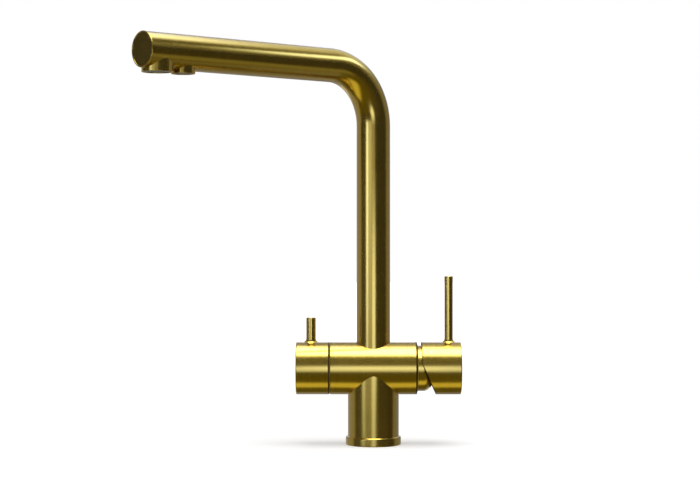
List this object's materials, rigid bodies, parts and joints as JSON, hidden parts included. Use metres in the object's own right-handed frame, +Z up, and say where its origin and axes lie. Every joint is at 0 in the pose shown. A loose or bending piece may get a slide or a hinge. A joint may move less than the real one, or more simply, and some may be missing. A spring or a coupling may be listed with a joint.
{
  "type": "filtered water tap",
  "caption": "Deck-mounted kitchen tap: T-shaped body, tall swivelling L spout with separate mains and filtered outlets, pin-lever mixer and quarter-turn filter knob.",
  "frame": {"origin": "on the deck, at the spout's swivel axis, in the middle of the base ring", "axes": "+Z up, +X to the right along the cross body towards the mixer handle, -Y towards the user"},
  "size_m": [0.2585, 0.1866, 0.329],
  "materials": {
    "brushed_gold": "satin brushed gold, fine lines around each round",
    "plain_brass": "plain machined brass",
    "stainless": "plain machined stainless steel",
    "black_rubber": "black moulded rubber",
    "white_acetal": "off-white moulded acetal",
    "disc_ceramic": "lapped alumina",
    "inner_tube": "translucent white food-grade tube",
    "black_plastic": "black moulded plastic",
    "gold_plug": "gold-coloured moulded plastic"
  },
  "bodies": {
    "tap": {"tap_body": "brushed_gold", "base_ring": "brushed_gold", "base_seal": "black_rubber", "inlet_block": "plain_brass", "inlet_seals": "black_rubber", "block_screws": "stainless", "thrust_washer": "white_acetal", "spout_lock_screw": "stainless", "cartridge_base": "white_acetal", "cartridge_seals": "black_rubber", "fixed_disc": "disc_ceramic", "cartridge_housing": "white_acetal", "cartridge_nut": "plain_brass", "dome_cover": "brushed_gold", "valve_lip_seal": "black_rubber", "valve_fixed_disc": "disc_ceramic", "valve_head": "plain_brass", "valve_gasket": "black_rubber"},
    "mixer_turret": {"turret": "white_acetal", "turret_oring": "black_rubber", "pivot_pin": "stainless"},
    "mixer_disc": {"moving_disc": "disc_ceramic", "disc_carrier": "white_acetal"},
    "mixer_handle": {"stem": "stainless", "handle_cap": "brushed_gold", "handle_lever": "brushed_gold", "handle_grub": "stainless", "handle_plug": "gold_plug"},
    "filter_handle": {"valve_turning_disc": "disc_ceramic", "valve_spindle": "plain_brass", "spindle_oring": "black_rubber", "filter_knob": "brushed_gold", "filter_lever": "brushed_gold", "knob_grub": "stainless", "knob_plug": "gold_plug"},
    "spout": {"swivel_foot": "plain_brass", "swivel_orings": "black_rubber", "glide_ring": "white_acetal", "spout_tube": "brushed_gold", "end_cap": "brushed_gold", "main_collar": "brushed_gold", "main_aerator_shell": "black_plastic", "main_aerator_jets": "black_plastic", "main_aerator_seal": "black_rubber", "filter_collar": "brushed_gold", "filter_aerator_shell": "black_plastic", "filter_aerator_jets": "black_plastic", "filter_aerator_seal": "black_rubber", "filter_tube": "inner_tube", "filter_elbow": "white_acetal"}
  },
  "joints": [
    {"name": "spout_swivel", "type": "hinge", "parent": "tap", "child": "spout", "pos_m": [0, 0, 0], "axis": [0, 0, 1], "continuous": true},
    {"name": "filter_turn", "type": "hinge", "parent": "tap", "child": "filter_handle", "pos_m": [0, 0, 0.064], "axis": [1, 0, 0], "range_deg": [0, 90]},
    {"name": "mixer_temperature", "type": "hinge", "parent": "tap", "child": "mixer_turret", "pos_m": [0, 0, 0.064], "axis": [1, 0, 0], "range_deg": [-50, 50]},
    {"name": "mixer_flow", "type": "hinge", "parent": "mixer_turret", "child": "mixer_handle", "pos_m": [0.038, 0, 0.064], "axis": [0, 1, 0], "range_deg": [0, 24]},
    {"name": "mixer_disc_slide", "type": "slide", "parent": "mixer_turret", "child": "mixer_disc", "axis": [0, 0, 1], "range_m": [0, 0.0036]}
  ],
  "couplings": [
    {"joint": "mixer_disc_slide", "follows": "mixer_flow", "m_per_rad": 0.008438}
  ]
}
